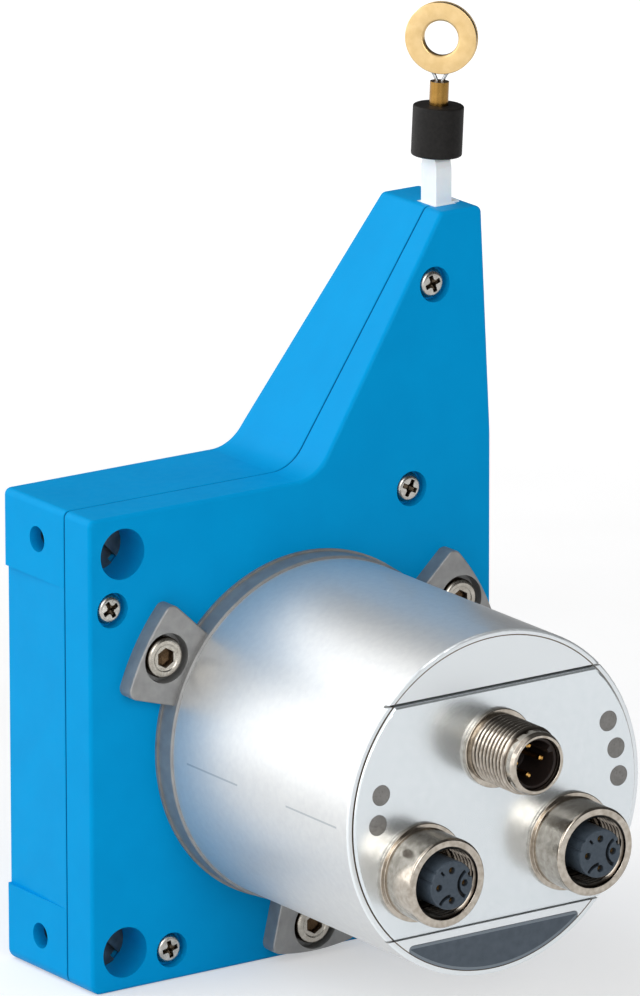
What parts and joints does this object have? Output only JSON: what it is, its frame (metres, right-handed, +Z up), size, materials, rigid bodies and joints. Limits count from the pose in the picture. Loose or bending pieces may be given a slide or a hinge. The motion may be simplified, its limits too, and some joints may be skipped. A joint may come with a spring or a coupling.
{
  "type": "draw wire encoder",
  "caption": "Draw wire encoder: flat moulded drum housing with a corner tower, steel wire with stop and ring, and a round encoder with screw-in connectors on its end.",
  "frame": {"origin": "midway between the two side bolt holes, on the left mounting face", "axes": "+Z up along the draw wire, +X from the mounting face to the wire's side, -Y out of the connector end"},
  "size_m": [0.0839, 0.0949, 0.161],
  "materials": {
    "blue_plastic": "gloss",
    "bright_steel": "satin",
    "dark_steel": "oiled",
    "sheet_steel": "satin",
    "spring_steel": "blued",
    "white_plastic": "satin",
    "felt": "felt",
    "cast_aluminium": "matte cast",
    "black_rubber": "matte",
    "circuit_board": "satin",
    "nickel_brass": "nickel plated",
    "nickel_steel": "satin nickel",
    "slate_panel": "satin",
    "grey_lamp": "satin",
    "dark_insert": "satin",
    "gold_contact": "gold plated",
    "drum_plastic": "satin",
    "wire_steel": "stranded",
    "disc_glass": "polished",
    "yellow_brass": "satin"
  },
  "bodies": {
    "housing": {"front_cover": "blue_plastic", "rear_shell": "blue_plastic", "housing_screws": "bright_steel", "barrel_nuts": "dark_steel", "rear_bearing_outer": "bright_steel", "spring_case": "sheet_steel", "spring_cover": "sheet_steel", "spiral_spring": "spring_steel", "wire_nozzle": "white_plastic", "wiper": "felt", "mounting_collar": "cast_aluminium", "collar_screws": "bright_steel", "encoder_flange": "cast_aluminium", "can_seal": "black_rubber", "encoder_bearings_outer": "bright_steel", "sensor_board": "circuit_board", "main_board": "circuit_board", "board_posts": "nickel_brass", "encoder_can": "nickel_steel", "label_panel": "slate_panel", "connector_plate": "nickel_steel", "signal_lamps": "grey_lamp", "power_shell": "nickel_brass", "power_insert": "dark_insert", "power_pins": "gold_contact", "data_shells": "nickel_brass", "data_inserts": "dark_insert", "data_contacts": "gold_contact"},
    "drum": {"wire_drum": "drum_plastic", "wire_winding": "wire_steel", "drum_shaft": "bright_steel", "rear_bearing_inner": "bright_steel", "encoder_bearings_inner": "bright_steel", "encoder_shaft": "bright_steel", "code_disc": "disc_glass"},
    "wire_end": {"draw_wire": "wire_steel", "stopper": "black_rubber", "crimp_sleeve": "yellow_brass", "wire_loop": "wire_steel", "eye_ring": "yellow_brass"}
  },
  "joints": [
    {"name": "drum_turn", "type": "hinge", "parent": "housing", "child": "drum", "pos_m": [0.0438, 0, -0.001], "axis": [0, -1, 0], "range_deg": [0, 5025], "stiffness_Nm_per_rad": 0.0008, "springref_deg": -14323.94},
    {"name": "wire_pull", "type": "slide", "parent": "housing", "child": "wire_end", "axis": [0, 0, 1], "range_m": [0, 3]}
  ],
  "couplings": [
    {"joint": "wire_pull", "follows": "drum_turn", "m_per_rad": 0.0342}
  ]
}
